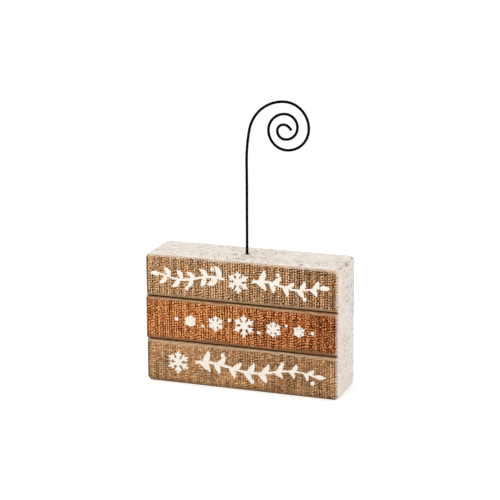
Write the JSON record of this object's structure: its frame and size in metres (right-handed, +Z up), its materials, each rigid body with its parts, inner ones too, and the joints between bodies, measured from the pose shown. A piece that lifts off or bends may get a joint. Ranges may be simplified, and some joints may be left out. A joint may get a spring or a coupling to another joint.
{
  "type": "photo block holder",
  "caption": "Small wooden block faced with stained slats, with an upright wire whose scroll holds a photograph or card.",
  "frame": {"origin": "middle of the block's footprint, on the surface that it stands on", "axes": "+Z up, the slatted face looks along -Y, +X to the right of someone who faces the slats"},
  "size_m": [0.1016, 0.027, 0.1462],
  "materials": {
    "whitewashed_wood": "matt off-white paint, distressed",
    "tan_stained_wood": "rough sawn, light brown stain",
    "orange_stained_wood": "rough sawn, orange brown stain",
    "taupe_stained_wood": "rough sawn, grey brown stain",
    "dark_wire": "satin black-brown"
  },
  "bodies": {
    "block": {"backing_board": "whitewashed_wood", "upper_slat": "tan_stained_wood", "middle_slat": "orange_stained_wood", "lower_slat": "taupe_stained_wood"},
    "wire": {"spiral_wire": "dark_wire"}
  },
  "joints": [
    {"name": "wire_swivel", "type": "hinge", "parent": "block", "child": "wire", "pos_m": [-0.0013, 0, 0.0673], "axis": [0, 0, 1], "continuous": true}
  ]
}
